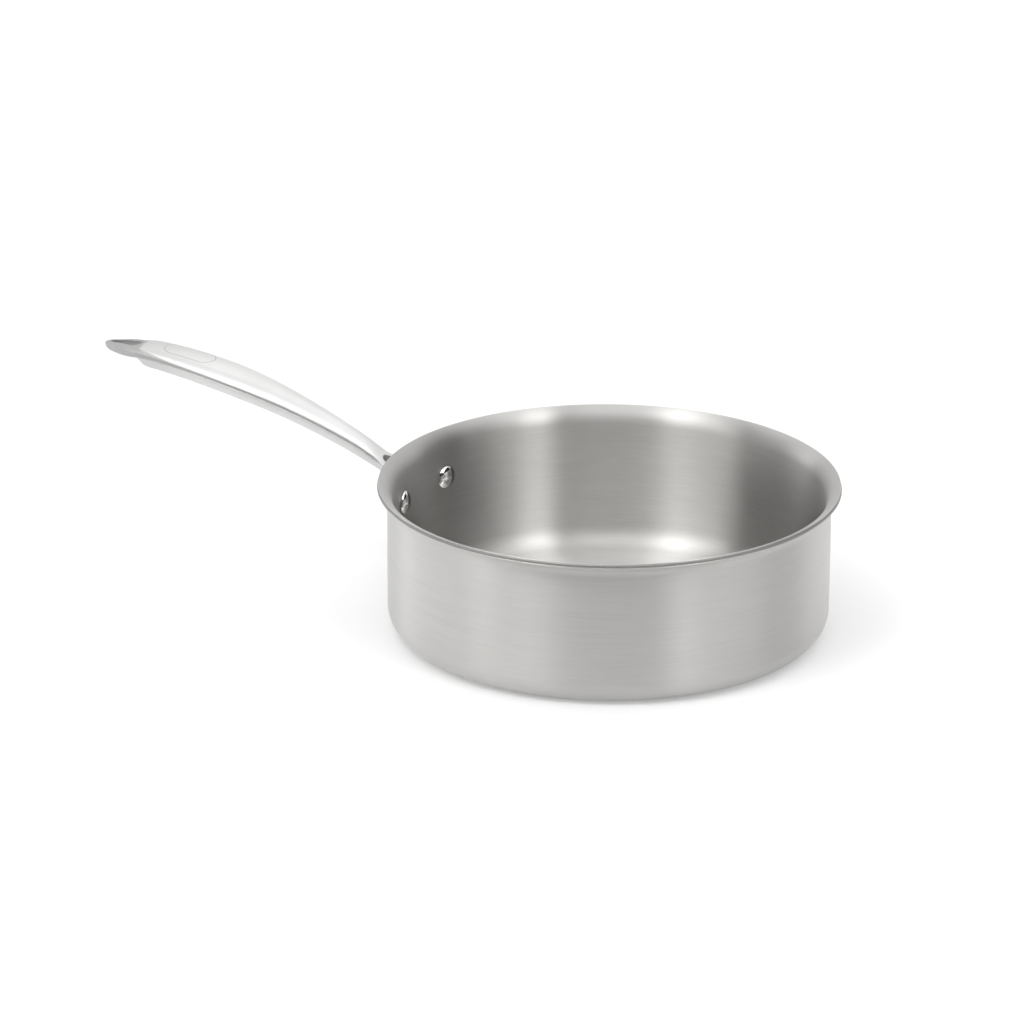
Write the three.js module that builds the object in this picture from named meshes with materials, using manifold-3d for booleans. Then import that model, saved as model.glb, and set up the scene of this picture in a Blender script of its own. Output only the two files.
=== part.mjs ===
// Deep saute pan: a clad three-ply body with a flared pouring rim, a cast stick handle with a
// forked root and a hang eye, and the two rivets that join them.
// Millimetres, +Z up. The origin is the centre of the base, on the surface the pan stands on.
// The handle reaches out along -X, so "reach" is a distance from the pan's axis along -X.
import * as THREE from 'three';
import { mergeVertices } from 'three/addons/utils/BufferGeometryUtils.js';
import Module from 'manifold-3d';

const wasm = await Module();
wasm.setup();

// Clad body
const wallDiameter = 240;
const panHeight = 83;
const cornerRadius = 13.6;
const flareRadius = 10;
const flareAngle = 75;
const outerPlyThickness = 0.5;
const corePlyThickness = 1.6;
const innerPlyThickness = 0.5;

// Rivets, one on each side of the handle
const rivetSpacing = 46.8;
const rivetHeight = 57.2;
const rivetHeadDiameter = 13.2;
const rivetHeadHeight = 2.9;
const rivetShankDiameter = 6.4;
const rivetTailDiameter = 11;
const rivetTailHeight = 2.4;

// Handle casting: the rivet flange
const flangeMargin = 10;
const flangeHeight = 24;
const flangeThickness = 3.5;

// Handle casting: its line from the wall to the tip, measured along the edge of the cap
const handleLength = 203;
const rootRise = 62;
const crestRise = 109;
const crestSetback = 18;

// Handle casting: its plan outline
const rootWidth = 42;
const forkWidth = 20;
const neckWidth = 12.6;
const gripWidth = 26.6;
const eyeWidth = 19.6;
const noseWidth = 10.4;
const forkOffset = 18;
const neckOffset = 31;
const gripOffset = 122;
const eyeSetback = 20;
const noseSetback = 8;
const noseBlunt = 0.4;

// Handle casting: its section, with a crowned cap over a groove and a belly
const neckCrown = 3;
const gripCrown = 4.4;
const eyeCrown = 2;
const capEdge = 0.8;
const grooveHeight = 1.6;
const grooveDepth = 1.3;
const bellyInset = 1;
const bellyDepth = 7.9;
const bellyFillet = 2.2;
const eyeBarDepth = 4.6;
const noseDepth = 2.5;
const capEndSetback = 20;
const capFade = 12;
const bellyEndSetback = 25;
const bellyFade = 6;

// Handle casting: the hang eye and the window of the fork
const eyeLength = 21.4;
const eyeBoreWidth = 9.8;
const eyeNoseWidth = 4;
const eyeTipBar = 3.8;
const windowOffset = 21;
const windowNeckWidth = 8;
const windowRootWidth = 27;

// Clearances
const seatGap = 0.3;
const cutOvershoot = 5;

// Facets
const panSegments = 64;
const arcSegments = 4;
const rivetSegments = 24;
const handleRings = 54;
const crownSegments = 8;
const weldTolerance = 1e-4;

const wallRadius = wallDiameter / 2;
const wallThickness = outerPlyThickness + corePlyThickness + innerPlyThickness;
const innerRadius = wallRadius - wallThickness;
const seatRadius = wallRadius + seatGap;
const flangeRadius = seatRadius + flangeThickness;
const rivetAngle = Math.asin(rivetSpacing / 2 / wallRadius);
const tipReach = wallRadius + handleLength;
const crestReach = tipReach - crestSetback;
const capEndReach = tipReach - capEndSetback;
const bellyEndReach = tipReach - bellyEndSetback;

const brushedSteel = { color: 0xb4b4b2, metalness: 1, roughness: 0.36 };
const satinSteel = { color: 0xd2d2d0, metalness: 1, roughness: 0.3 };
const polishedSteel = { color: 0xc8c8c6, metalness: 1, roughness: 0.14 };
const bareAluminium = { color: 0xa9abad, metalness: 1, roughness: 0.45 };

// A closed solid from a geometry: corners welded, and the slivers that close on an axis dropped.
function solidOf(geometry) {
  const bare = new THREE.BufferGeometry();
  bare.setAttribute('position', geometry.getAttribute('position'));
  bare.setIndex(geometry.getIndex());
  const welded = mergeVertices(bare, weldTolerance);
  const corners = welded.getIndex().array;
  const triangles = [];
  for (let first = 0; first < corners.length; first += 3) {
    const [a, b, c] = corners.slice(first, first + 3);
    if (a !== b && b !== c && c !== a) {
      triangles.push(a, b, c);
    }
  }
  const vertProperties = new Float32Array(welded.getAttribute('position').array);
  const triVerts = new Uint32Array(triangles);
  return new wasm.Manifold(new wasm.Mesh({ numProp: 3, vertProperties, triVerts }));
}

// A named mesh of a finished solid.
function meshOf(name, solid, look) {
  const { vertProperties, triVerts } = solid.getMesh();
  const geometry = new THREE.BufferGeometry();
  geometry.setAttribute('position', new THREE.BufferAttribute(vertProperties, 3));
  geometry.setIndex(new THREE.BufferAttribute(triVerts, 1));
  geometry.computeVertexNormals();
  const mesh = new THREE.Mesh(geometry, new THREE.MeshStandardMaterial(look));
  mesh.name = name;
  return mesh;
}

// Points of a circular arc, in degrees, from the first angle to the second.
function arcPoints(centreX, centreY, radius, fromDegrees, toDegrees) {
  const from = THREE.MathUtils.degToRad(fromDegrees);
  const to = THREE.MathUtils.degToRad(toDegrees);
  const arc = new THREE.EllipseCurve(centreX, centreY, radius, radius, from, to, to < from);
  return arc.getPoints(arcSegments);
}

// One face of the clad sheet, at a depth below the outside, from the axis out to the rim.
function sheetFace(depth) {
  const cornerCentre = wallRadius - cornerRadius;
  const flareCentre = innerRadius + flareRadius;
  const flareStart = panHeight - flareRadius * Math.sin(THREE.MathUtils.degToRad(flareAngle));
  return [
    new THREE.Vector2(0, depth),
    ...arcPoints(cornerCentre, cornerRadius, cornerRadius - depth, -90, 0),
    ...arcPoints(flareCentre, flareStart, flareCentre - wallRadius + depth, 180, 180 - flareAngle),
  ];
}

// A rivet hole along the radius, right through the wall and the flange.
function rivetHole(side) {
  const holeRadius = rivetShankDiameter / 2 + seatGap;
  const from = innerRadius - cutOvershoot;
  const to = flangeRadius + cutOvershoot;
  const drill = new THREE.CylinderGeometry(holeRadius, holeRadius, to - from, rivetSegments);
  drill.rotateZ(-Math.PI / 2);
  drill.translate((from + to) / 2, 0, rivetHeight);
  drill.rotateZ(Math.PI + side * rivetAngle);
  return solidOf(drill);
}

// A ply of the body, between two depths below the outside, with its two rivet holes.
function ply(name, outerDepth, innerDepth, look) {
  const profile = [...sheetFace(outerDepth), ...sheetFace(innerDepth).reverse()];
  const shell = new THREE.LatheGeometry(profile, panSegments);
  shell.rotateX(Math.PI / 2);
  const drilled = solidOf(shell).subtract(rivetHole(-1)).subtract(rivetHole(1));
  return meshOf(name, drilled, look);
}

// A solid through rings of equally many points, closed with a flat cap at each end.
function loft(rings) {
  const count = rings[0].length;
  const faces = [];
  for (let ring = 0; ring + 1 < rings.length; ring += 1) {
    for (let place = 0; place < count; place += 1) {
      const here = ring * count + place;
      const next = ring * count + ((place + 1) % count);
      faces.push(here, next, here + count, next, next + count, here + count);
    }
  }
  const flat = rings[0].map((point) => new THREE.Vector2(point.y, point.z));
  const last = (rings.length - 1) * count;
  for (const [a, b, c] of THREE.ShapeUtils.triangulateShape(flat, [])) {
    faces.push(a, b, c, last + a, last + c, last + b);
  }
  const points = rings.flat().flatMap((point) => point.toArray());
  const geometry = new THREE.BufferGeometry();
  geometry.setAttribute('position', new THREE.Float32BufferAttribute(points, 3));
  geometry.setIndex(faces);
  return solidOf(geometry);
}

// A value that eases from one size to another between two reaches.
function ease(reach, fromReach, toReach, fromSize, toSize) {
  return THREE.MathUtils.lerp(fromSize, toSize, THREE.MathUtils.smoothstep(reach, fromReach, toReach));
}

// Height of the cap's edge: a parabola that climbs from the wall and levels out at the crest.
function edgeHeight(reach) {
  const fall = (crestReach - reach) / (crestReach - wallRadius);
  return crestRise - (crestRise - rootRise) * fall * fall;
}

// Half of the handle's plan outline, from the wall to the rounded nose.
function planOutline() {
  const neckReach = wallRadius + neckOffset;
  const gripReach = wallRadius + gripOffset;
  return new THREE.SplineCurve([
    new THREE.Vector2(wallRadius, rootWidth / 2),
    new THREE.Vector2(wallRadius + forkOffset, forkWidth / 2),
    new THREE.Vector2(neckReach, neckWidth / 2),
    new THREE.Vector2((neckReach + gripReach) / 2, (neckWidth + gripWidth) / 4),
    new THREE.Vector2(gripReach, gripWidth / 2),
    new THREE.Vector2(tipReach - eyeSetback, eyeWidth / 2),
    new THREE.Vector2(tipReach - noseSetback, noseWidth / 2),
    new THREE.Vector2(tipReach - noseSetback / 4, noseWidth / 4),
    new THREE.Vector2(tipReach, noseBlunt / 2),
  ]);
}

// Section of the casting at one reach, as a closed ring that is the same on both sides.
function handleSection(reach, halfWidth) {
  const neckReach = wallRadius + neckOffset;
  const gripReach = wallRadius + gripOffset;
  const capFadeReach = capEndReach - capFade;
  const bellyFadeReach = bellyEndReach - bellyFade;
  const gripArch = ease(reach, neckReach, gripReach, neckCrown, gripCrown);
  const eyeArch = eyeCrown * Math.min(1, halfWidth / (eyeWidth / 2));
  const eyeDepth = THREE.MathUtils.lerp(noseDepth, eyeBarDepth, Math.min(1, halfWidth / (noseWidth / 2)));
  const crown = ease(reach, capFadeReach, capEndReach, gripArch, eyeArch);
  const depth = ease(reach, bellyFadeReach, bellyEndReach, bellyDepth, eyeDepth);
  const undercut = ease(reach, bellyFadeReach, bellyEndReach, grooveDepth, 0);
  const inset = ease(reach, bellyFadeReach, bellyEndReach, bellyInset, 0);
  const fillet = Math.min(bellyFillet, (halfWidth - inset) / 2);
  const half = [];
  for (let step = 0; step <= crownSegments / 2; step += 1) {
    const angle = (Math.PI / 2) * (1 - (2 * step) / crownSegments);
    half.push([halfWidth * Math.cos(angle), crown * Math.sin(angle)]);
  }
  half.push([halfWidth, -capEdge]);
  half.push([halfWidth - undercut, -capEdge - grooveHeight / 2]);
  half.push([halfWidth - inset, -capEdge - grooveHeight]);
  half.push([halfWidth - inset, fillet - depth]);
  half.push([halfWidth - inset - fillet * (1 - Math.SQRT1_2), fillet * (1 - Math.SQRT1_2) - depth]);
  half.push([halfWidth - inset - fillet, -depth]);
  const mirrored = half.slice(1).reverse().map(([across, up]) => [-across, up]);
  const height = edgeHeight(reach);
  return [...half, ...mirrored].map(([across, up]) => new THREE.Vector3(-reach, across, height + up));
}

// The long stem, from the wall to the tip, before its openings are cut.
function stem() {
  const outline = planOutline().getSpacedPoints(handleRings);
  return loft(outline.map((point) => handleSection(point.x, point.y)));
}

// The flange: a strip that follows the wall, trimmed to a stadium around both rivets.
function flange() {
  const halfLength = rivetSpacing / 2 + flangeMargin;
  const spread = Math.asin((halfLength + cutOvershoot) / flangeRadius);
  const strip = new THREE.Shape();
  strip.absarc(0, 0, flangeRadius, Math.PI - spread, Math.PI + spread, false);
  strip.absarc(0, 0, seatRadius, Math.PI + spread, Math.PI - spread, true);
  const band = new THREE.ExtrudeGeometry(strip, {
    depth: flangeHeight,
    bevelEnabled: false,
    curveSegments: panSegments / 2,
  });
  band.translate(0, 0, rivetHeight - flangeHeight / 2);
  const endRadius = flangeHeight / 2;
  const endOffset = halfLength - endRadius;
  const stadium = new THREE.Shape();
  stadium.absarc(endOffset, 0, endRadius, -Math.PI / 2, Math.PI / 2, false);
  stadium.absarc(-endOffset, 0, endRadius, Math.PI / 2, (3 * Math.PI) / 2, false);
  const trim = new THREE.ExtrudeGeometry(stadium, {
    depth: flangeRadius,
    bevelEnabled: false,
    curveSegments: arcSegments * 2,
  });
  trim.rotateX(Math.PI / 2);
  trim.rotateZ(-Math.PI / 2);
  trim.translate(0, 0, rivetHeight);
  return solidOf(band).intersect(solidOf(trim));
}

// An upright cut whose outline is two arcs on the handle's centre line, joined by straight sides.
function slotCut(nearReach, nearRadius, farReach, farRadius) {
  const lean = Math.asin((nearRadius - farRadius) / (farReach - nearReach));
  const outline = new THREE.Shape();
  outline.absarc(-farReach, 0, farRadius, Math.PI / 2 + lean, (3 * Math.PI) / 2 - lean, false);
  outline.absarc(-nearReach, 0, nearRadius, -Math.PI / 2 - lean, Math.PI / 2 + lean, false);
  const depth = crestRise + gripCrown + cutOvershoot;
  const cut = new THREE.ExtrudeGeometry(outline, {
    depth,
    bevelEnabled: false,
    curveSegments: arcSegments * 2,
  });
  return solidOf(cut);
}

// The hang eye: a teardrop that narrows towards the tip.
function hangEye() {
  const farReach = tipReach - eyeTipBar - eyeNoseWidth / 2;
  const nearReach = tipReach - eyeTipBar - eyeLength + eyeBoreWidth / 2;
  return slotCut(nearReach, eyeBoreWidth / 2, farReach, eyeNoseWidth / 2);
}

// The window of the fork: rounded at the handle's end and spreading towards the flange.
function forkWindow() {
  const nearReach = flangeRadius - windowRootWidth / 2;
  const farReach = wallRadius + windowOffset - windowNeckWidth / 2;
  return slotCut(nearReach, windowRootWidth / 2, farReach, windowNeckWidth / 2);
}

// The room that the handle leaves for the pan's wall.
function wallRoom() {
  const room = new THREE.CylinderGeometry(seatRadius, seatRadius, panHeight, panSegments);
  room.rotateX(Math.PI / 2);
  room.translate(0, 0, panHeight / 2);
  return solidOf(room);
}

// The handle: stem and flange joined, then seated on the wall and pierced.
function handle() {
  const forked = stem().subtract(forkWindow());
  const seated = forked.add(flange()).subtract(wallRoom());
  const pierced = seated.subtract(rivetHole(-1)).subtract(rivetHole(1)).subtract(hangEye());
  return meshOf('handle', pierced, satinSteel);
}

// A solid rivet: domed head on the cooking side, shank, and the head formed on the flange.
function rivet(name, side) {
  const headRadius = rivetHeadDiameter / 2;
  const shankRadius = rivetShankDiameter / 2;
  const tailRadius = rivetTailDiameter / 2;
  const headSeat = Math.sqrt(innerRadius ** 2 - headRadius ** 2) - seatGap;
  const tailSeat = flangeRadius + seatGap;
  const dome = new THREE.EllipseCurve(0, headSeat, headRadius, rivetHeadHeight, -Math.PI / 2, 0, false);
  const button = new THREE.EllipseCurve(0, tailSeat, tailRadius, rivetTailHeight, 0, Math.PI / 2, false);
  const profile = [
    ...dome.getPoints(arcSegments),
    new THREE.Vector2(shankRadius, headSeat),
    new THREE.Vector2(shankRadius, tailSeat),
    ...button.getPoints(arcSegments),
  ];
  profile[0].x = 0;
  profile[profile.length - 1].x = 0;
  const turned = new THREE.LatheGeometry(profile, rivetSegments);
  turned.rotateZ(-Math.PI / 2);
  const mesh = meshOf(name, solidOf(turned), polishedSteel);
  mesh.position.z = rivetHeight;
  mesh.rotation.z = Math.PI + side * rivetAngle;
  return mesh;
}

const coreDepth = outerPlyThickness;
const innerDepth = outerPlyThickness + corePlyThickness;

const body = new THREE.Group();
body.add(ply('outer_ply', 0, coreDepth, brushedSteel));
body.add(ply('core_ply', coreDepth, innerDepth, bareAluminium));
body.add(ply('inner_ply', innerDepth, wallThickness, brushedSteel));

const grip = new THREE.Group();
grip.add(handle());
grip.add(rivet('rivet_right', -1));
grip.add(rivet('rivet_left', 1));

const pan = new THREE.Group();
pan.add(body, grip);

export default pan;
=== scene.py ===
# %% [markdown]
# # A deep saute pan in brushed steel
# The pan is a drawn body of three bonded metal sheets, a cast stick handle and two rivets.
# The packed model is loaded first as a fixed frame: every piece below is made in its metres and
# in its place, and takes over from the faceted solid of the same name.

# %% Load the frame
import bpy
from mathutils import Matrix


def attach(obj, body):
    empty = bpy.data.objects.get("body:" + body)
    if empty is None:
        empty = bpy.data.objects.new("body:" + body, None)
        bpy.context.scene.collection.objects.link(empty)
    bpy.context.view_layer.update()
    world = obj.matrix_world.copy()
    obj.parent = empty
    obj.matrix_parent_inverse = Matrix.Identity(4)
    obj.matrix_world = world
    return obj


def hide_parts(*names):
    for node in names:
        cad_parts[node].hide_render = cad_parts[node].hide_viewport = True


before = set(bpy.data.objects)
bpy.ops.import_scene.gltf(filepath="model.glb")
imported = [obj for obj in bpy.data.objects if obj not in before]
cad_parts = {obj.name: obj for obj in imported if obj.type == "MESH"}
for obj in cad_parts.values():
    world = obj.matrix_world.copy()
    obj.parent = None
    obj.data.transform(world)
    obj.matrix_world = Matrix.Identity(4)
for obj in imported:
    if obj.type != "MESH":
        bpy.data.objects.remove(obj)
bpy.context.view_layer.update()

# %% [markdown]
# ## Camera
# The photograph was taken with a long lens from a little above the rim. A camera is easiest to
# read as a place on a sphere round the pan and a point that it looks at. Looking at a point
# beside the axis puts the pan to the right of the picture, so the lens needs no shift and views
# from other sides stay centred.

# %% Place the camera
import bpy
from math import asin, atan2, cos, pi, radians, sin, sqrt, tan
from mathutils import Matrix, Vector

view_turn, view_rise = radians(27.99), radians(21.76)
view_distance = 2.985
view_roll = radians(0.18)
aim_across, aim_height = -0.0525, 0.0646

to_camera = Vector(
    (sin(view_turn) * cos(view_rise), -cos(view_turn) * cos(view_rise), sin(view_rise))
)
to_right = Vector((cos(view_turn), sin(view_turn), 0))
aim = to_right * aim_across + Vector((0, 0, aim_height))
camera = bpy.data.objects.new("camera", bpy.data.cameras.new("camera"))
camera.data.sensor_width = 36
camera.data.lens = 192.5
camera.location = to_camera * view_distance
look = (aim - camera.location).to_track_quat("-Z", "Y").to_matrix()
camera.rotation_euler = (look @ Matrix.Rotation(view_roll, 3, "Z")).to_euler()
bpy.context.scene.collection.objects.link(camera)
bpy.context.scene.camera = camera
bpy.context.scene.view_settings.view_transform = "Standard"
print("camera at", [round(v, 3) for v in camera.location])

# %% [markdown]
# ## Wiring materials as sums
# A finish is a small tree of nodes. Adding one takes the same few steps each time: set its options,
# link or fill its inputs, and pick the output to go on with. A socket is found by its number or by
# its name, and of several sockets with one name only one is in use.

# %% Add a node
def find_socket(sockets, key):
    """A socket by its number, or the one in use of that name."""
    if isinstance(key, int):
        return sockets[key]
    return next(s for s in sockets if s.enabled and s.name == key)


def add_node(tree, kind, settings, inputs, output=0):
    """Adds a node to a tree, and gives one of its outputs as a field."""
    made = tree.nodes.new(kind)
    for key, value in settings.items():
        setattr(made, key, value)
    for key, value in inputs.items():
        socket = find_socket(made.inputs, key)
        if isinstance(value, Field):
            tree.links.new(value.socket, socket)
        else:
            socket.default_value = value
    return Field(tree, find_socket(made.outputs, output))


print("nodes are added by", add_node.__name__)

# %% [markdown]
# Wrapping an output socket in a class with the arithmetic signs lets a formula be written as a
# formula, and each sign adds one Math node.

# %% A socket that does arithmetic
class Field:
    """A value that varies over a surface: the output of a node, with arithmetic."""

    def __init__(self, tree, socket):
        self.tree = tree
        self.socket = socket

    def node(self, kind, settings, inputs, output=0):
        """Adds a node of a kind, sets it up, then feeds its sockets with fields or values."""
        return add_node(self.tree, kind, settings, inputs, output)

    def math(self, operation, *terms):
        """A Math node on this field and other terms."""
        terms = dict(enumerate((self,) + terms))
        return self.node("ShaderNodeMath", {"operation": operation}, terms)

    def __add__(self, other):
        return self.math("ADD", other)

    __radd__ = __add__

    def __sub__(self, other):
        return self.math("SUBTRACT", other)

    def __rsub__(self, other):
        return self * -1.0 + other

    def __mul__(self, other):
        return self.math("MULTIPLY", other)

    __rmul__ = __mul__

    def __truediv__(self, other):
        return self.math("DIVIDE", other)

    def root(self):
        return self.math("SQRT")

    def size(self):
        return self.math("ABSOLUTE")

    def at_least(self, other):
        return self.math("MAXIMUM", other)

    def at_most(self, other):
        return self.math("MINIMUM", other)

    def parts(self):
        """The X, Y and Z of a vector."""
        return [self.node("ShaderNodeSeparateXYZ", {}, {0: self}, axis) for axis in "XYZ"]

    def between(self, low, high):
        """Eases from 0 at low to 1 at high."""
        soft = {"interpolation_type": "SMOOTHSTEP"}
        span = {"Value": self, "From Min": low, "From Max": high}
        return self.node("ShaderNodeMapRange", soft, span)

    def mix(self, first, second):
        """A colour that goes from first to second as this field goes from 0 to 1."""
        colours = {"Factor": self, "A": first, "B": second}
        return self.node("ShaderNodeMix", {"data_type": "RGBA"}, colours, "Result")


print("a field has", [word for word in vars(Field) if not word.startswith("_")])

# %% [markdown]
# ## Finishes
# Every finish starts from the same shader. What is alike all over is a constant on one of its
# sockets, and what varies is a field that is linked to one. A metal has one tone, and its grain
# goes a little to both sides of it.

# %% Start a finish
mm = 0.001


def new_finish(name, constants):
    """A fresh material with some constants, and its shader."""
    finish = bpy.data.materials.new(name)
    finish.use_nodes = True
    shader = finish.node_tree.nodes["Principled BSDF"]
    for socket, value in constants.items():
        shader.inputs[socket].default_value = value
    return finish, shader


def feed(shader, socket, field):
    """Links a field to a socket of a shader."""
    field.tree.links.new(field.socket, shader.inputs[socket])


def shades(tone, darker, lighter):
    """A darker and a lighter colour of one tone."""
    return [[min(1, v * factor) for v in tone] + [1] for factor in (darker, lighter)]


print("shades of a mid grey", shades((0.5, 0.5, 0.5), 0.9, 1.1))

# %% [markdown]
# ## Brushed steel
# The body is brushed by an abrasive belt while it turns, so the scratches are rings round the
# axis. Each one is about half a millimetre wide and centimetres long. Noise that is stretched
# along the ring and squeezed across it gives the lines; it is read from the direction round the
# axis, not from an angle, so there is no seam. Rings of scratches also smear reflections across
# themselves, up and down the wall: that is anisotropy, a constant of the shader, turned by a
# quarter so that it acts across the rings.

# %% Make a steel finish
def ring_lines(tree, along, across):
    """Noise drawn out into rings round the axis, 1/along radians long and 1/across metres wide."""
    place = add_node(tree, "ShaderNodeTexCoord", {}, {}, "Object")
    x, y, z = place.parts()
    above_zero = 1e-8
    radius = (x * x + y * y + above_zero).root()
    spread = {0: x / radius * along, 1: y / radius * along, 2: (radius + z) * across}
    lines = place.node("ShaderNodeCombineXYZ", {}, spread)
    noise = {"Vector": lines, "Scale": 1.0, "Detail": 3.0, "Roughness": 0.6}
    return place.node("ShaderNodeTexNoise", {"noise_dimensions": "3D"}, noise, "Fac")


def brushed_steel(name, tone, roughness, smear, line_width):
    """Steel with fine lines of a width, and broader and longer ones under them."""
    quarter_turn = 0.25
    constants = {"Metallic": 1.0, "Anisotropic": smear, "Anisotropic Rotation": quarter_turn}
    finish, shader = new_finish(name, constants)
    tree = finish.node_tree
    fine = ring_lines(tree, 5.0, 1 / line_width)
    broad_width = 9 * line_width
    broad = ring_lines(tree, 2.0, 1 / broad_width)
    lines = fine * 0.7 + broad * 0.3
    feed(shader, "Base Color", lines.between(0.3, 0.7).mix(*shades(tone, 0.955, 1.04)))
    feed(shader, "Roughness", roughness + (lines - 0.5) * 0.08)
    relief = {"Strength": 0.08, "Distance": 0.04 * mm, "Height": fine}
    feed(shader, "Normal", fine.node("ShaderNodeBump", {}, relief))
    return finish


outer_tone, inner_tone = (0.585, 0.579, 0.567), (0.62, 0.613, 0.6)
satin = 0.42
outer_finish = brushed_steel("outer_steel", outer_tone, satin, smear=0.93, line_width=0.45 * mm)
inner_finish = brushed_steel("inner_steel", inner_tone, satin, smear=1.0, line_width=0.6 * mm)
print("made", outer_finish.name, inner_finish.name)

# %% [markdown]
# ## The bonded edge and the rivets
# The middle sheet is aluminium and shows only as a thin dull line in the trimmed rim. The rivets
# are polished. Both have a fine even grain and no direction.

# %% Make the plain metals
def grain(tree, scale):
    """Object coordinates and an even noise on them."""
    place = add_node(tree, "ShaderNodeTexCoord", {}, {}, "Object")
    even = {"Vector": place, "Scale": scale, "Detail": 3.0}
    return place, place.node("ShaderNodeTexNoise", {}, even, "Fac")


def plain_metal(name, tone, roughness, scale):
    """Metal with an even grain."""
    finish, shader = new_finish(name, {"Metallic": 1.0})
    _, fine = grain(finish.node_tree, scale)
    feed(shader, "Base Color", fine.between(0.3, 0.7).mix(*shades(tone, 0.92, 1.05)))
    feed(shader, "Roughness", roughness + (fine - 0.5) * 0.06)
    return finish


rivet_tone, core_tone = (0.78, 0.78, 0.77), (0.3, 0.298, 0.293)
rivet_finish = plain_metal("rivet_steel", rivet_tone, roughness=0.13, scale=900.0)
core_finish = plain_metal("core_aluminium", core_tone, roughness=0.5, scale=1800.0)
print("made", rivet_finish.name, core_finish.name)

# %% [markdown]
# ## Turned sections
# The three sheets and the rivets are round, so each is one section spun about an axis. A section
# is drawn like a pen on paper: extruding the last vertex draws a line, and spinning it about a
# centre draws an arc. Long straights are cut into steps, so that smooth shading keeps them flat
# next to an arc.

# %% A pen for sections
import bmesh


class Section:
    """A line of edges in the plane of radius and height, drawn from point to point."""

    def __init__(self, radius, height):
        self.bm = bmesh.new()
        self.pen = self.bm.verts.new((radius, 0, height))

    def line(self, radius, height, steps=1):
        """Draws a straight line in equal steps."""
        stride = (Vector((radius, 0, height)) - self.pen.co) / steps
        for _ in range(steps):
            self.pen = bmesh.ops.extrude_vert_indiv(self.bm, verts=[self.pen])["verts"][0]
            bmesh.ops.translate(self.bm, verts=[self.pen], vec=stride)
        return self

    def arc(self, radius, height, angle, steps):
        """Turns the pen about a centre, anticlockwise where radius runs right and height up."""
        about = {"cent": (radius, 0, height), "axis": (0, -1, 0), "angle": angle, "steps": steps}
        drawn = bmesh.ops.spin(self.bm, geom=[self.pen], **about)
        self.pen = drawn["geom_last"][0]
        return self

    def turned(self, steps):
        """Spins the whole section round the upright axis and closes it."""
        drawn = self.bm.verts[:] + self.bm.edges[:]
        about = {"cent": (0, 0, 0), "axis": (0, 0, 1), "angle": 2 * pi, "steps": steps}
        bmesh.ops.spin(self.bm, geom=drawn, use_merge=True, **about)
        return self.bm


trial = Section(10 * mm, 0).line(20 * mm, 0).arc(20 * mm, 5 * mm, pi / 2, 4)
print("a line and a quarter arc end at", [round(v / mm, 3) for v in trial.pen.co])
trial.bm.free()

# %% [markdown]
# A drawn mesh becomes a piece of the pan in the same way each time: it is welded and shaded smooth,
# gets its finish and takes the place of the solid of its name. Nothing on the pan moves, so all
# pieces ride on one body.

# %% Hand over a piece
weld = 1e-6


def finish_piece(bm, name, material):
    """Welds and smooths a bmesh, and makes it a piece that stands for the CAD node of its name."""
    bmesh.ops.remove_doubles(bm, verts=bm.verts, dist=weld)
    bmesh.ops.recalc_face_normals(bm, faces=bm.faces)
    for face in bm.faces:
        face.smooth = True
    mesh = bpy.data.meshes.new(name)
    bm.to_mesh(mesh)
    bm.free()
    mesh.materials.append(material)
    piece = bpy.data.objects.new(f"{name}_shown", mesh)
    bpy.context.scene.collection.objects.link(piece)
    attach(piece, "root")
    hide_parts(name)
    print(piece.name, len(mesh.vertices), "vertices", len(mesh.polygons), "faces")
    return piece


print("pieces are welded within", weld / mm, "mm")

# %% [markdown]
# ## The three sheets
# The body is deep drawn from one bonded disc: half a millimetre of steel, a thick aluminium
# core and half a millimetre of steel. A rounded corner joins base and wall, and the rim rolls
# outwards to pour cleanly. Each sheet keeps its depth from the outer face all the way, so one
# function draws all three. The trimmed rim gets a tiny round on its two outer corners.

# %% Draw and spin the sheets
wall_radius = 120 * mm
pan_height = 83 * mm
corner_radius = 13.6 * mm
flare_radius = 10 * mm
flare_turn = radians(75)
sheet, steel = 2.6 * mm, 0.5 * mm
rim_round = 0.22 * mm
base_steps, corner_steps, wall_steps, flare_steps, round_steps = 10, 12, 14, 10, 192
flare_centre = (wall_radius - sheet + flare_radius, pan_height - flare_radius * sin(flare_turn))


def lip_end(depth):
    """Where a face of the sheet at this depth ends at the trimmed rim."""
    reach = flare_centre[0] - wall_radius + depth
    return flare_centre[0] - reach * cos(flare_turn), flare_centre[1] + reach * sin(flare_turn)


def sheet_piece(name, outer_depth, inner_depth, lip_round, material):
    """One metal of the sheet, between two depths. The rim is rounded at some depths."""
    corner = (wall_radius - corner_radius, corner_radius)
    section = Section(0, outer_depth)
    section.line(corner[0], outer_depth, base_steps)
    section.arc(*corner, pi / 2, corner_steps)
    section.line(wall_radius - outer_depth, flare_centre[1], wall_steps)
    section.arc(*flare_centre, -flare_turn, flare_steps)
    section.line(*lip_end(inner_depth), 2)
    section.arc(*flare_centre, flare_turn, flare_steps)
    section.line(wall_radius - inner_depth, corner[1], wall_steps)
    section.arc(*corner, -pi / 2, corner_steps)
    section.line(0, inner_depth, base_steps)
    bm = section.turned(round_steps)
    bmesh.ops.remove_doubles(bm, verts=bm.verts, dist=weld)
    for depth in lip_round:
        lip = Vector(lip_end(depth))
        rim = {v for v in bm.verts if (Vector((v.co.xy.length, v.co.z)) - lip).length < weld}
        edges = [e for e in bm.edges if rim.issuperset(e.verts)]
        small_round = {"offset": rim_round, "segments": 3, "profile": 0.5, "material": -1}
        bmesh.ops.bevel(bm, geom=edges, affect="EDGES", **small_round)
    finish_piece(bm, name, material)


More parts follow.
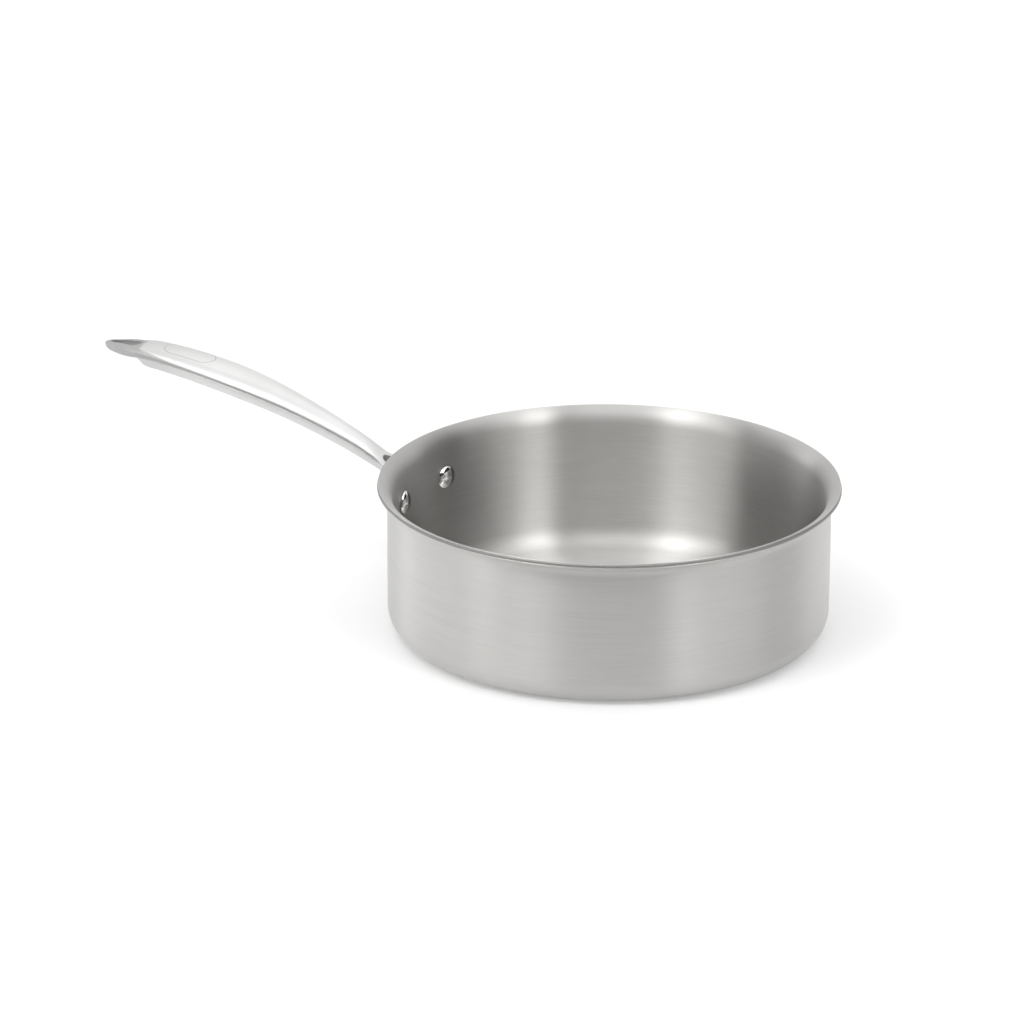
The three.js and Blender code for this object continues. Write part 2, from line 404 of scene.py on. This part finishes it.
sheet_piece("outer_ply", 0, steel, [0], outer_finish)
sheet_piece("core_ply", steel, sheet - steel, [], core_finish)
sheet_piece("inner_ply", sheet - steel, sheet, [sheet], inner_finish)

# %% [markdown]
# ## Rivets
# A rivet is a solid pin with a smooth domed head inside the pan. Its other end is struck over
# the flange of the handle into a lower button. The section is spun upright, then laid along the
# radius that it goes through the wall on.

# %% Spin the rivets
rivet_spacing = 46.8 * mm
rivet_height = 57.2 * mm
inner_radius = wall_radius - sheet
flange_radius = 123.8 * mm
clearance = 0.3 * mm
head, head_rise = 6.6 * mm, 2.9 * mm
tail, tail_rise = 5.5 * mm, 2.4 * mm
shank = 3.2 * mm


def rivet(name, side):
    """A rivet through the wall, on one side of the handle."""
    head_seat = sqrt(inner_radius**2 - head**2) - clearance
    tail_seat = flange_radius + clearance
    section = Section(0, -head)
    section.arc(0, 0, pi / 2, 12)
    bmesh.ops.scale(section.bm, vec=(1, 1, head_rise / head), verts=section.bm.verts)
    section.line(shank, 0)
    section.line(shank, tail_seat - head_seat)
    section.line(tail, tail_seat - head_seat)
    crown = Section(tail, 0)
    crown.arc(0, 0, pi / 2, 10)
    for vert in crown.bm.verts:
        if vert.co.z > 0:
            section.line(vert.co.x, tail_seat - head_seat + vert.co.z * tail_rise / tail)
    crown.bm.free()
    bm = section.turned(64)
    turn = pi + side * asin(rivet_spacing / 2 / wall_radius)
    lay_down = Matrix.Rotation(pi / 2, 4, "Y") @ Matrix.Translation((0, 0, head_seat))
    to_wall = Matrix.Translation((0, 0, rivet_height)) @ Matrix.Rotation(turn, 4, "Z")
    bmesh.ops.transform(bm, matrix=to_wall @ lay_down, verts=bm.verts)
    finish_piece(bm, name, rivet_finish)


rivet("rivet_right", -1)
rivet("rivet_left", 1)

# %% [markdown]
# ## Handle
# The casting has a crowned cap over a groove and a narrower belly. It rises from the wall in a
# curve that levels out at the hang eye, and its root forks into two legs that spread into the
# flange. A loft could be built on a curve with a bevel, but then every section would be alike.
# Here half of the casting is a strip of section points that is extruded from station to station
# and mirrored. Its lines come first, and each of them is a formula of the reach, the distance from
# the pan's axis.

# %% Heights of the casting
crest_reach = 305 * mm
root_rise, crest_rise = 62 * mm, 109 * mm
groove_start, groove_depth, groove_gain = 150 * mm, 2.3 * mm, 0.8 / 140


def edge_height(reach):
    """Height of the cap's edge: a parabola that levels out at the crest."""
    fall = (crest_reach - reach) / (crest_reach - wall_radius)
    return crest_rise - fall * fall * (crest_rise - root_rise)


def groove_foot(reach):
    """How far below the cap's lip the groove ends: deeper at the grip than at the root."""
    return groove_depth + (reach - groove_start) * groove_gain


print("the cap's edge is", round(edge_height(wall_radius) / mm, 1), "mm high at the wall")

# %% [markdown]
# Seen from above, the handle has an outline and two upright openings, the eye and the window of the
# fork. The outline lists reaches and half widths in millimetres, and a smooth curve goes through
# them. Halving finds the place on that curve at a reach. An opening has two round ends, each given
# by its reach and its radius, and two straight sides that touch both.

# %% Widths of the casting
outline = [(120, 21), (138, 7.4), (151, 6.3), (196.5, 9.8), (242, 13.3)]
outline += [(303, 9.8), (315, 5.6), (320.5, 3.4), (323, 0.4)]
eye = (302.7 * mm, 4.9 * mm, 317.2 * mm, 2 * mm)
fork = (110.3 * mm, 13.5 * mm, 137 * mm, 4 * mm)


def half_width(reach):
    """Half of the plan outline, by a smooth curve through its named widths."""
    points = [Vector((x * mm, w * mm)) for x, w in outline]
    points = [2 * points[0] - points[1]] + points + [2 * points[-1] - points[-2]]
    for before, here, there, after in zip(points, points[1:], points[2:], points[3:]):
        if here.x <= reach <= there.x:
            break
    low, high, halvings = 0.0, 1.0, 40
    for _ in range(halvings):
        share = (low + high) / 2
        pull_here, pull_there = (there - before) / 2, (after - here) / 2
        cube, square = share**3, share**2
        spot = here * (2 * cube - 3 * square + 1) + pull_here * (cube - 2 * square + share)
        spot += there * (3 * square - 2 * cube) + pull_there * (cube - square)
        low, high = (share, high) if spot.x < reach else (low, share)
    return spot.y


def slot_width(reach, near, near_radius, far, far_radius):
    """Half of the width of an opening with two round ends, or 0 outside it."""
    lean = asin((near_radius - far_radius) / (far - near))
    if reach <= near - near_radius or reach >= far + far_radius:
        return 0
    if reach < near + near_radius * sin(lean):
        return sqrt(near_radius**2 - (reach - near) ** 2)
    if reach > far + far_radius * sin(lean):
        return sqrt(far_radius**2 - (reach - far) ** 2)
    return near_radius / cos(lean) - (reach - near) * tan(lean)


print("neck is", round(2000 * half_width(151 * mm), 2), "mm wide")

# %% [markdown]
# The cap is belted to a satin without a direction. The belly is painted a shade darker than the
# cap:
# painted shade on the lower side of the handle. The belt doesn't reach into the groove, round the
# eye and into the fork, where the rougher skin of the casting stays; it is painted darker there as
# shade in a hollow, and so is the bar round the eye. The painted shade of the groove widens like a
# wedge up to the eye, and lighter painted shade shows towards both ends of the cap and along its
# lip. The masks follow the lines above: nodes work out how deep a point lies below the edge of the
# cap, and how far it is from the wall of an opening.

# %% Find the skin and the painted shade of the casting
lip_drop, drop_start, drop_end = 2 * mm, 134 * mm, 153 * mm
wedge_start, wedge_end, wedge_rise = 262 * mm, 298 * mm, 2.5 * mm
bar_start, bar_end, bar_depth = 292 * mm, 297 * mm, 7 * mm
grip_start, grip_full, grip_fade, grip_end = 130 * mm, 172 * mm, 248 * mm, 294 * mm
# how strongly painted shade darkens the two ends of the cap and its lip
end_share, lip_share = 0.4, 0.5


def past_wall(x, y, near, near_radius, far, far_radius):
    """Distance in plan from the wall of an opening, less than 0 inside it."""
    share = ((x * -1.0 - near) / (far - near)).at_least(0.0).at_most(1.0)
    ahead = x * -1.0 - near - share * (far - near)
    return (ahead * ahead + y * y).root() - near_radius - share * (far_radius - near_radius)


def casting_masks(x, y, z):
    """How much rougher skin and painted shade a point shows, whether it is on the belly, and its
    depth below the edge.
    """
    reach = x * -1.0
    below_edge = edge_height(reach) - z
    below_lip = below_edge - (1.0 - reach.between(drop_start, drop_end)) * lip_drop
    belly = (below_lip - groove_foot(reach)).between(-0.4 * mm, 0.0)
    # painted shade: the groove, the walls of the openings and the bar round the eye are darkened
    # like shade in a hollow
    wedge = reach.between(wedge_start, wedge_end) * wedge_rise
    groove = (below_lip + wedge).between(0.1 * mm, 0.5 * mm) * (1.0 - belly)
    bar = reach.between(bar_start, bar_end) * (1.0 - below_edge.between(5 * mm, bar_depth))
    inside = past_wall(x, y, *eye).at_most(past_wall(x, y, *fork))
    walls = (1.0 - inside.between(0.1 * mm, 0.5 * mm)) * below_edge.between(-1.2 * mm, -0.6 * mm)
    # painted shade towards both ends of the cap and along its lip
    ends = reach.between(grip_fade, grip_end).at_least(1.0 - reach.between(grip_start, grip_full))
    lip = below_lip.between(-2.5 * mm, -0.5 * mm) * (1.0 - belly)
    # in the colour this mask is painted shade; in the roughness it is a rougher cast skin
    skin_and_shade = groove.at_least(walls).at_least(bar)
    return skin_and_shade.at_least(ends * end_share).at_least(lip * lip_share), belly, below_edge


print("full satin for", round((grip_fade - grip_full) / mm), "mm of the grip")

# %% [markdown]
# An oval line is engraved on the cap, and the place inside it is bare. It is a mask too: the
# distance from a short straight line, less half of the oval's width.

# %% Make the satin of the casting
badge = {"centre": 266.5 * mm, "length": 31.5 * mm, "width": 13.5 * mm, "line": 0.35 * mm}


def oval_line(x, y, centre, length, width, line):
    """1 on an oval line round a place at a reach, and 0 off it."""
    ahead = ((x + centre).size() - (length - width) / 2).at_least(0.0)
    off_line = ((ahead * ahead + y * y).root() - width / 2).size()
    return 1.0 - off_line.between(line * 0.4, line)


def cast_satin(name, tone, roughness):
    """Belted cast steel, with painted shade on the belly and over the rougher skin, each in its
    place.
    """
    finish, shader = new_finish(name, {"Metallic": 1.0})
    tree = finish.node_tree
    place, fine = grain(tree, 2600.0)
    _, cloudy = grain(tree, 45.0)
    x, y, z = place.parts()
    skin_and_shade, belly, below_edge = casting_masks(x, y, z)
    mark = oval_line(x, y, **badge) * (1.0 - below_edge.between(-1.0 * mm, 0.0))
    speckle = fine.between(0.3, 0.7)
    belted = (fine * 0.5 + cloudy * 0.5).between(0.3, 0.7).mix(*shades(tone, 0.96, 1.03))
    # painted shade: the belly is coloured a shade darker than the cap
    painted_belly_shade = speckle.mix(*shades(tone, 0.84, 0.9))
    # painted shade: the dark colour under the skin mask, for the hollows, the eye bar, the ends and
    # the lip
    skin_and_shade_colour = speckle.mix(*shades(tone, 0.53, 0.63))
    engraved, _ = shades(tone, 0.62, 1)
    feed(shader, "Base Color", mark.mix(skin_and_shade.mix(belly.mix(belted, painted_belly_shade), skin_and_shade_colour), engraved))
    uneven = fine * 0.05 + cloudy * 0.04 + (mark + skin_and_shade) * 0.1
    feed(shader, "Roughness", roughness - 0.04 + uneven)
    relief = {"Strength": 0.25, "Distance": 0.06 * mm, "Height": fine * 0.12 - mark}
    feed(shader, "Normal", fine.node("ShaderNodeBump", {}, relief))
    return finish


handle_finish = cast_satin("handle_steel", (0.78, 0.78, 0.775), satin)
print("made", handle_finish.name, "with", len(handle_finish.node_tree.nodes), "nodes")

# %% [markdown]
# The section is the same count of points all along: five over the crown, the edge of the cap, the
# groove, the side of the belly, its rounded lower corner and the middle of the underside. Beside
# the eye it is a rounded bar instead. The sides of both come first.

# %% Sides of the casting
nose_depth, nose_width = 2.3 * mm, 5.4 * mm


def ease(value, low, high, first, last):
    """Goes from first to last as value goes from low to high, with soft ends."""
    share = min(1, max(0, (value - low) / (high - low)))
    return first + (last - first) * share * share * (3 - 2 * share)


def grip_side(reach, wide, opening):
    """Lip of the cap, groove and belly, as points across and up from the cap's edge."""
    edge, inset, depth, largest_fillet = 0.25 * mm, 1 * mm, 7.9 * mm, 2.2 * mm
    groove = ease(reach, 128 * mm, 134 * mm, 0.3 * mm, 1.6 * mm)
    lip = edge + ease(reach, drop_start, drop_end, lip_drop, 0)
    foot = groove_foot(reach) - edge
    fillet = min(largest_fillet, (wide - inset - opening) / 2)
    corner = fillet * 0.29
    return [
        (wide, -lip),
        (wide - groove, -lip - 0.1 * foot),
        (wide - groove, -lip - 0.6 * foot),
        (wide - inset, -lip - foot),
        (wide - inset, fillet - depth),
        (wide - inset - corner, corner - depth),
        (wide - inset - fillet, -depth),
        (opening, -depth),
    ]


def bar_side(wide, opening):
    """The rounded side of the bar round the eye, which gets thinner towards the nose."""
    thick = wide - opening
    depth = nose_depth + nose_depth * min(1, wide / nose_width)
    side = [(0, 0.15), (0, 0.3), (0.03, 0.45), (0.1, 0.6)]
    underside = [(0.24, 0.8), (0.45, 0.94), (0.7, 1), (1, 1)]
    return [(wide - thick * across, -depth * down) for across, down in side + underside]


print("the side of the bar has", len(bar_side(half_width(eye[0]), eye[1])), "points")

# %% [markdown]
# Between the grip and the eye one side turns into the other. The crown above them is an arc of an
# ellipse. It is flat at the fork, where the cap is thin.

# %% Sections of the casting
neck_crown, grip_crown, eye_crown, flat_crown = 3 * mm, 4.4 * mm, 2 * mm, 2.8 * mm


def half_section(reach):
    """The half section at a reach, in its place."""
    wide = half_width(reach)
    opening = max(slot_width(reach, *eye), slot_width(reach, *fork))
    grip = ease(reach, 151 * mm, 242 * mm, neck_crown, grip_crown)
    grip -= ease(reach, 138 * mm, 156 * mm, flat_crown, 0)
    crown = ease(reach, 291 * mm, 303 * mm, grip, eye_crown * min(1, wide / (9.8 * mm)))
    start = atan2(sqrt(wide**2 - opening**2), opening)
    points = [(wide * cos(start * k / 4), crown * sin(start * k / 4)) for k in (4, 3, 2, 1, 0)]
    share = ease(reach, 291.5 * mm, 298.5 * mm, 0, 1)
    for flat, bar in zip(grip_side(reach, wide, opening), bar_side(wide, opening)):
        points.append([a + (b - a) * share for a, b in zip(flat, bar)])
    return [Vector((-reach, across, edge_height(reach) + up)) for across, up in points]


print("grip section has", len(half_section(242 * mm)), "points in a half")

# %% [markdown]
# The stations are reaches in millimetres. They stand close together at the round ends of the two
# openings and further apart along the grip. Each extrusion moves the strip on by one station.

# %% Extrude the half casting
stations = [127, 130, 133.5, 137, 139.4, 140.7, 141.1, 143, 147, 153, 162, 174, 188, 203]
stations += [218, 233, 248, 262, 274, 283, 289, 293, 295.6, 297.4, 297.8, 298.3, 299.6, 302.7]
stations += [306, 310, 314, 317, 318.7, 319.2, 320.2, 321.6, 322.6]


def next_ring(bm, edges, ring):
    """Extrudes edges of a ring and gives the fresh vertices, in the ring's order."""
    made = bmesh.ops.extrude_edge_only(bm, edges=edges)["geom"]
    fresh = {v for v in made if isinstance(v, bmesh.types.BMVert)}
    return [next(e.other_vert(v) for e in v.link_edges if e.other_vert(v) in fresh) for v in ring]


bm = bmesh.new()
ring = [bm.verts.new(point) for point in half_section(stations[0] * mm)]
for pair in zip(ring, ring[1:]):
    bm.edges.new(pair)
rings = [ring]
for station in stations[1:]:
    ring = next_ring(bm, [bm.edges.get(pair) for pair in zip(ring, ring[1:])], ring)
    for vert, point in zip(ring, half_section(station * mm)):
        vert.co = point
    rings.append(ring)
print(len(rings), "stations of", len(ring), "points")

# %% [markdown]
# Where the handle is open, the two ends of the strip have left the middle, and an inner wall
# closes them. The nose is closed by one face.

# %% Close the openings and the nose
for here, there, station, following in zip(rings, rings[1:], stations, stations[1:]):
    halfway = (station + following) / 2 * mm
    if max(slot_width(halfway, *eye), slot_width(halfway, *fork)) > 0:
        bm.faces.new((here[0], here[-1], there[-1], there[0]))
bm.faces.new(rings[-1])
print(len(bm.faces), "faces so far")

# %% [markdown]
# At the wall the leg spreads into the flange, half of a plate with round ends that is bent round
# the pan. More rings do it: each of the leg's points glides to its place on the edge of the
# plate, while the ring lies on an upright cylinder. The list says how far the points have come and
# the radius of the cylinder in millimetres. The two ends of the ring reach the middle plane
# half-way, and from there on nothing is extruded along that plane.

# %% Spread the leg into the flange
half_flange, flange_middle, flange_half_height = 33.4 * mm, rivet_height, 12 * mm
flange_end = half_flange - flange_half_height
rim_turns = [radians(a) for a in (90, 58, 28, 6, -14, -40, -66, -90)]
pad_y = [flange_end + flange_half_height * cos(a) for a in rim_turns]
pad_z = [flange_half_height * sin(a) for a in rim_turns]
pad_y = [0, 7 * mm, 14 * mm] + pad_y + [11 * mm, 0]
pad_z = [flange_half_height] * 3 + pad_z + [-flange_half_height] * 2
foot = rings[0]
leg_y, leg_z = [v.co.y for v in foot], [v.co.z for v in foot]

spread = [(0.0, 125.4), (0.12, 123.8), (0.5, 123.8), (0.93, 123.8), (1.0, 123.2), (1.0, 120.3)]
for share, radius in spread:
    around = [e for e in bm.edges if all(v in foot for v in e.verts)]
    open_edges = [e for e in around if any(v.co.y > weld for v in e.verts)]
    foot = next_ring(bm, open_edges, foot)
    for vert, y, z, to_y, to_z in zip(foot, leg_y, leg_z, pad_y, pad_z):
        glide = min(1, 2 * share) if to_y == 0 else share
        across = y + (to_y - y) * glide
        height = z + (flange_middle + to_z - z) * share
        vert.co = Vector((-sqrt((radius * mm) ** 2 - across**2), across, height))
bm.faces.new(foot)
print("flange reaches", round(2000 * max(v.co.y for v in foot), 1), "mm across")

# %% [markdown]
# Mirroring gives the other half. The edges of the groove are creased, so that subdivision leaves
# them crisp; they fade out at the flange and at the eye, and the rest of the casting stays soft.

# %% Mirror, crease and subdivide
crease = bm.edges.layers.float.new("crease_edge")
sharp, opening_crease = {4: 0.5, 5: 0.8, 7: 0.5, 8: 0.8}, 0.5
for here, there, station in zip(rings, rings[1:], stations):
    strength = ease(station, 128, 136, 0, 1) * ease(station, 288, 297, 1, 0)
    for place, amount in sharp.items():
        bm.edges.get((here[place], there[place]))[crease] = amount * strength
    if bm.edges.get((here[0], here[-1])):
        for place in (0, -1):
            bm.edges.get((here[place], there[place]))[crease] = opening_crease
bmesh.ops.mirror(bm, geom=bm.verts[:] + bm.edges[:] + bm.faces[:], axis="Y", merge_dist=1e-5)
handle = finish_piece(bm, "handle", handle_finish)
rounding = handle.modifiers.new("rounding", "SUBSURF")
rounding.levels = rounding.render_levels = 3

# %% [markdown]
# ## Floor, light and background
# The pan stands on a white table. It is pale by its own colour and, to the camera and in
# reflections, white by a little glow of its own, so that the pan's soft shadow stays on it. It runs
# far back, but it ends in front just outside the picture: the middle of the wall mirrors the darker
# room beyond that edge.

# %% Lay the table
table_reach, table_front = 3, 0.56
table_tone, table_glow = (0.63, 0.63, 0.63, 1), 0.3
floor_mesh = bpy.data.meshes.new("floor")
floor_bm = bmesh.new()
bmesh.ops.create_grid(floor_bm, x_segments=1, y_segments=1, size=table_reach)
to_back = Matrix.Translation((0, table_reach - table_front, 0))
table_place = Matrix.Rotation(view_turn, 4, "Z") @ to_back
bmesh.ops.transform(floor_bm, matrix=table_place, verts=floor_bm.verts)
floor_bm.to_mesh(floor_mesh)
floor_bm.free()
floor = bpy.data.objects.new("floor", floor_mesh)
bpy.context.scene.collection.objects.link(floor)
matt = {"Base Color": table_tone, "Roughness": 0.9, "Specular IOR Level": 0.0}
white_table, shader = new_finish("white_table", matt | {"Emission Strength": 1.0})
floor_mesh.materials.append(white_table)


def rays(tree, kind):
    """1 for the rays of a kind, and 0 for others."""
    return add_node(tree, "ShaderNodeLightPath", {}, {}, f"Is {kind} Ray")


tree = white_table.node_tree
shown = (rays(tree, "Camera") + rays(tree, "Glossy") + rays(tree, "Transmission")).at_most(1.0)
feed(shader, "Emission Color", shown * table_glow)
print("the table ends", table_front, "m in front of the pan's axis")

# %% [markdown]
# One broad soft light hangs above the pan and makes the shadow under it. It is given by its
# radiance, which is how bright it looks, so that its size can change without its brightness.

# %% Hang the light
def lamp(name, across, depth, height, width, length, radiance):
    """A flat soft lamp that looks down, hung so far across, behind and above the pan's foot."""
    box = bpy.data.objects.new(name, bpy.data.lights.new(name, "AREA"))
    box.data.shape = "RECTANGLE"
    box.data.size, box.data.size_y = width, length
    box.data.energy = radiance * pi * width * length
    box.location = Matrix.Rotation(view_turn, 3, "Z") @ Vector((across, depth, height))
    box.rotation_euler = (0, 0, view_turn)
    bpy.context.scene.collection.objects.link(box)
    return box


hung = {"across": 0.1, "depth": -0.1, "height": 2.0}
softbox = lamp("softbox", **hung, width=2.0, length=1.8, radiance=1.25)
print("softbox of", round(softbox.data.energy, 1), "watts")

# %% [markdown]
# Metal shows the room more than its own colour, so the room is the rest of the light. A panel is a
# soft-edged patch of the sky. Its place is found from how far the seen direction points to the
# camera's right, behind the pan and up, so no picture of a room is needed.

# %% A panel of the room
world = bpy.data.worlds.new("studio")
bpy.context.scene.world = world
world.use_nodes = True
tree = world.node_tree
background = tree.nodes["Background"]
way = add_node(tree, "ShaderNodeTexCoord", {}, {}, "Generated")


def seen_along(direction):
    """How far the seen direction points along another, from -1 to 1."""
    dot = {"operation": "DOT_PRODUCT"}
    return way.node("ShaderNodeVectorMath", dot, {0: way, 1: direction}, "Value")


right = seen_along(to_right)
behind = seen_along(Vector((-sin(view_turn), cos(view_turn), 0)))
up = seen_along(Vector((0, 0, 1)))
level_part = (1.0001 - up * up).root()


def panel(turn, half_angle, low, high, soft):
    """A soft-edged panel. Turn 0 is the camera's right, 90 behind the pan, -90 its own side."""
    facing = (right * cos(radians(turn)) + behind * sin(radians(turn))) / level_part
    across = facing.between(cos(radians(half_angle + soft)), cos(radians(half_angle - soft)))
    above = up.between(sin(radians(low - soft)), sin(radians(low + soft)))
    below = up.between(sin(radians(high - soft)), sin(radians(high + soft)))
    return across * above * (1.0 - below)


print("the room has", len(tree.nodes), "nodes before its panels")

# %% [markdown]
# A panel is given in degrees by its compass turn, half of its width, its lowest and highest angle
# and the softness of its edge, and then by its strength. The pale background is behind the pan, and
# to the camera it is white. A sweep above it lights the flare of the rim and the cap of the handle,
# white cards stand low on both sides, and two tall lights on the camera's side make the light
# bands inside the pan.

# %% Fill the room
dark_room = 0.03
room = {
    "pale background": (90, 64, -80, 36, 6, 0.85),
    "white sweep above it": (110, 58, 36, 60, 6, 1.35),
    "right end of the sweep": (38, 14, 36, 60, 5, 0.9),
    "bright card beside that end": (12, 12, 43, 63, 5, 2.0),
    "low card on the left": (175, 34, -80, 11, 6, 2.3),
    "low card on the right": (-22, 14, -80, 10, 4, 1.2),
    "strip on the left": (-155, 10, 14, 30, 4, 1.0),
    "tall light on the left": (-145, 20, 30, 66, 4, 3.6),
    "tall light on the right": (-45, 9, 28, 60, 3, 5.3),
    "weaker side of that light": (-22, 10, 40, 58, 3, 3.0),
    "ceiling above the camera": (-106, 44, 44, 72, 5, 2.3),
}
level = sum(panel(*shape) * strength for *shape, strength in room.values()) + dark_room
*backdrop, pale = room["pale background"]
mirrored = (rays(tree, "Glossy") + rays(tree, "Transmission")) * panel(*backdrop) * pale
feed(background, "Color", level.at_least(rays(tree, "Camera") + mirrored))
print("world has", len(tree.nodes), "nodes")

# %% [markdown]
# The dressed pan has to stay inside the box of the packed solids.
